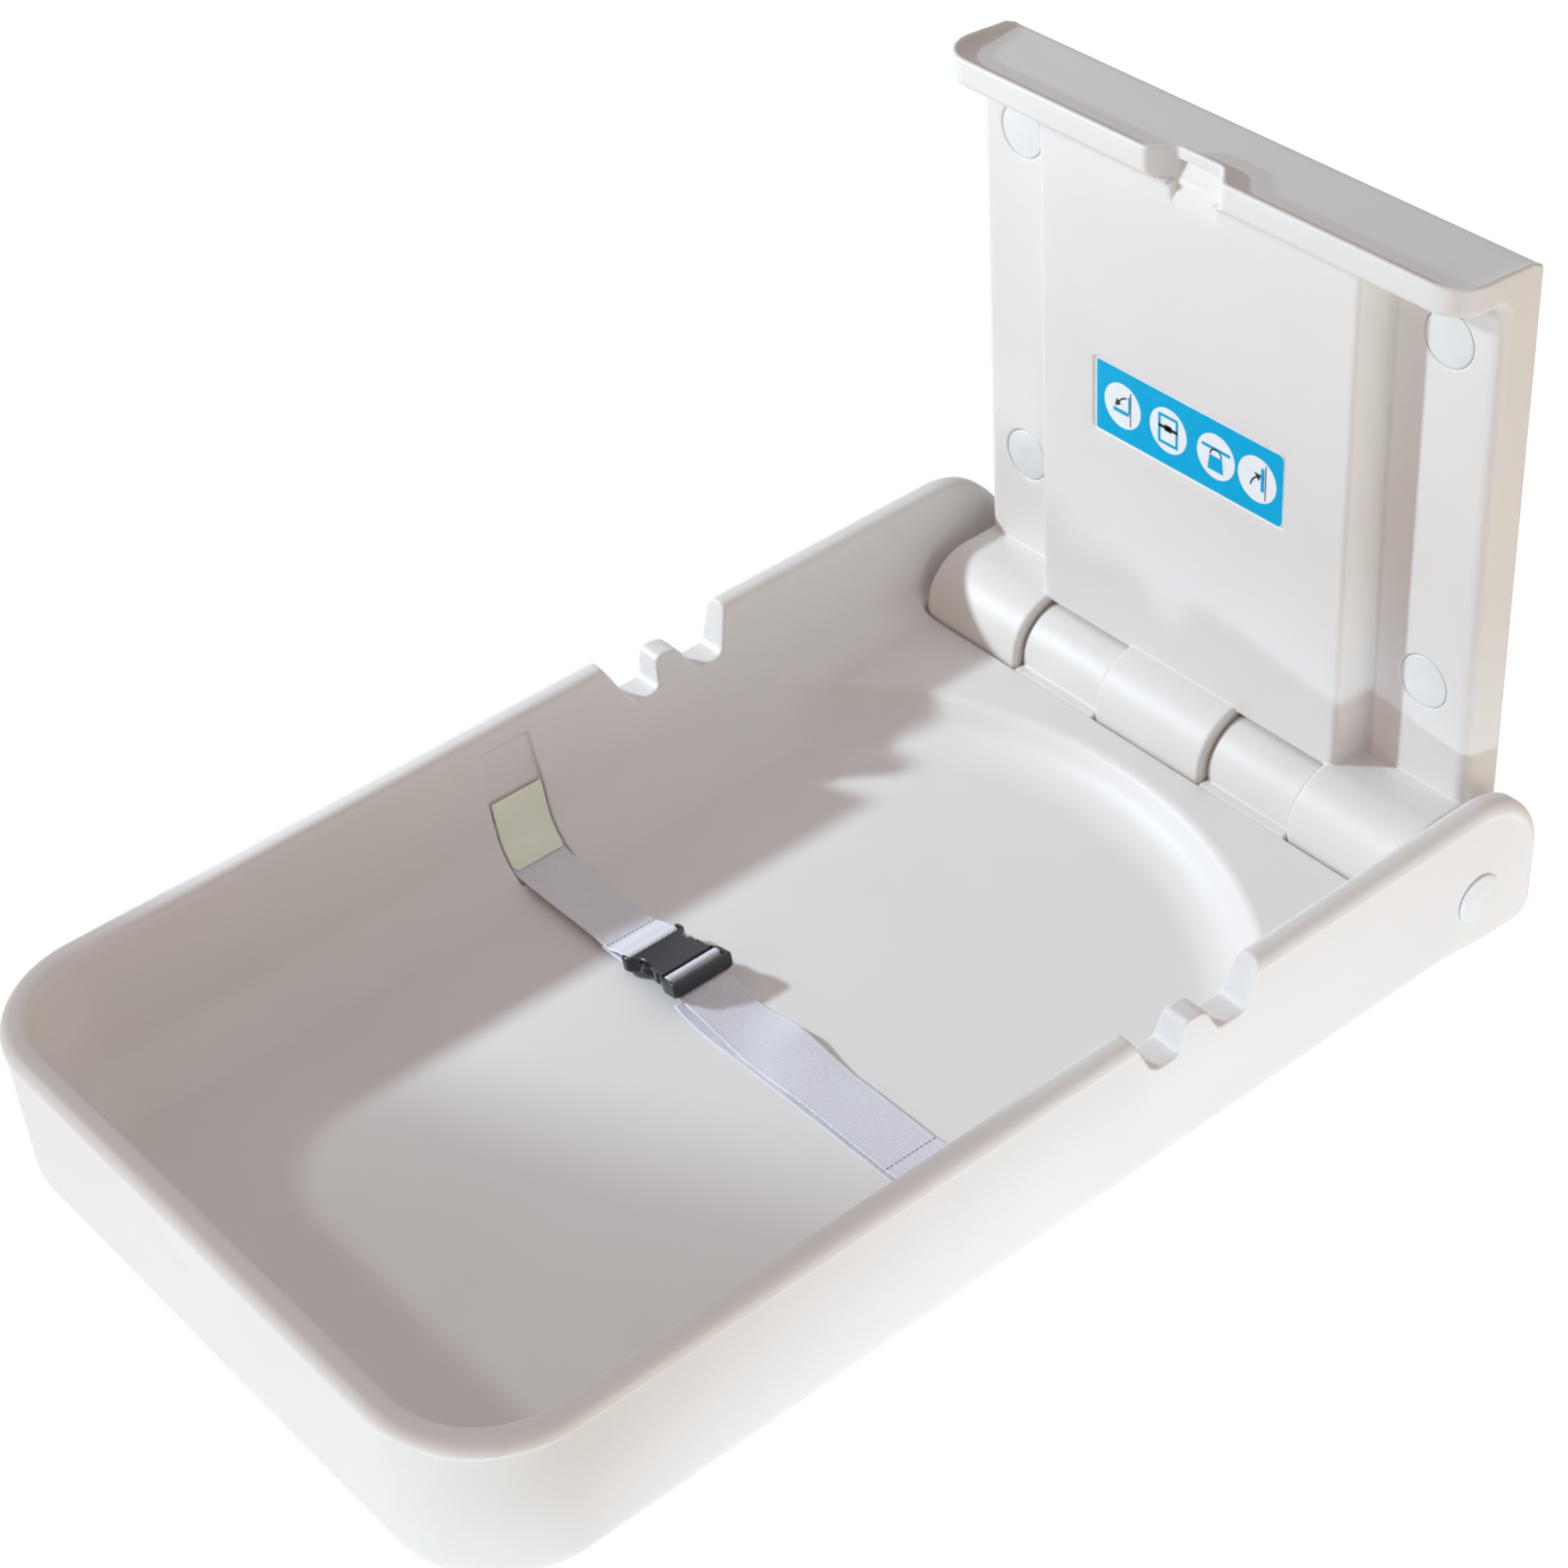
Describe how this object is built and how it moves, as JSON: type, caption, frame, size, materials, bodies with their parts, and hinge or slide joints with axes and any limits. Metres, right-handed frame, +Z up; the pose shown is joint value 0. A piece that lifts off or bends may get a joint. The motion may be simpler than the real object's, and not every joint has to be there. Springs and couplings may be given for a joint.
{
  "type": "baby changing station",
  "caption": "Wall-mounted changing tray that folds up against its panel about a hinge rod, with a raised rim, bag hooks in both sides and a webbing strap with a side-release buckle.",
  "frame": {"origin": "on the wall, at the centre of the steel back plate, midway between the four mounting screws", "axes": "+Y into the wall, +Z up, and the open tray reaches towards -Y"},
  "size_m": [0.5668, 0.9435, 0.522],
  "materials": {
    "moulding": "fine texture",
    "steel": "zinc plated",
    "cap": "smooth",
    "label": "smooth",
    "acetal": "smooth",
    "rubber": "moulded",
    "anchor": "satin",
    "webbing": "woven",
    "buckle": "satin"
  },
  "bodies": {
    "panel": {"wall_panel": "moulding", "wall_backplate": "steel", "mounting_screw_1": "steel", "mounting_screw_2": "steel", "mounting_screw_3": "steel", "mounting_screw_4": "steel", "screw_washer_1": "steel", "screw_washer_2": "steel", "screw_washer_3": "steel", "screw_washer_4": "steel", "wall_spacer_1": "steel", "wall_spacer_2": "steel", "wall_spacer_3": "steel", "wall_spacer_4": "steel", "screw_cap_1": "cap", "screw_cap_2": "cap", "screw_cap_3": "cap", "screw_cap_4": "cap", "label_plate": "label", "hinge_rod": "steel", "rod_nut_left": "steel", "rod_nut_right": "steel", "stop_pad_left": "rubber", "stop_pad_right": "rubber"},
    "tray": {"tray_moulding": "moulding", "tray_cover": "moulding", "cover_screw_1": "steel", "cover_screw_2": "steel", "cover_screw_3": "steel", "cover_screw_4": "steel", "cover_screw_5": "steel", "cover_screw_6": "steel", "cover_screw_7": "steel", "cover_screw_8": "steel", "ear_bush_left": "acetal", "ear_bush_right": "acetal", "hinge_sleeve_left": "acetal", "hinge_sleeve_right": "acetal", "pivot_cap_left": "cap", "pivot_cap_right": "cap", "strap_plate_left": "anchor", "strap_plate_right": "anchor", "strap_short": "webbing", "strap_long": "webbing", "buckle_socket": "buckle", "buckle_plug": "buckle"},
    "arm_front": {"release_arm_front": "buckle"},
    "arm_rear": {"release_arm_rear": "buckle"}
  },
  "joints": [
    {"name": "tray_hinge", "type": "hinge", "parent": "panel", "child": "tray", "pos_m": [0, -0.08, -0.2635], "axis": [-1, 0, 0], "range_deg": [0, 90]},
    {"name": "release_front", "type": "hinge", "parent": "tray", "child": "arm_front", "pos_m": [-0.066, -0.518, -0.2885], "axis": [0, 0, -1], "range_deg": [0, 8], "stiffness_Nm_per_rad": 1.5},
    {"name": "release_rear", "type": "hinge", "parent": "tray", "child": "arm_rear", "pos_m": [-0.066, -0.496, -0.2885], "axis": [0, 0, 1], "range_deg": [0, 8], "stiffness_Nm_per_rad": 1.5}
  ]
}
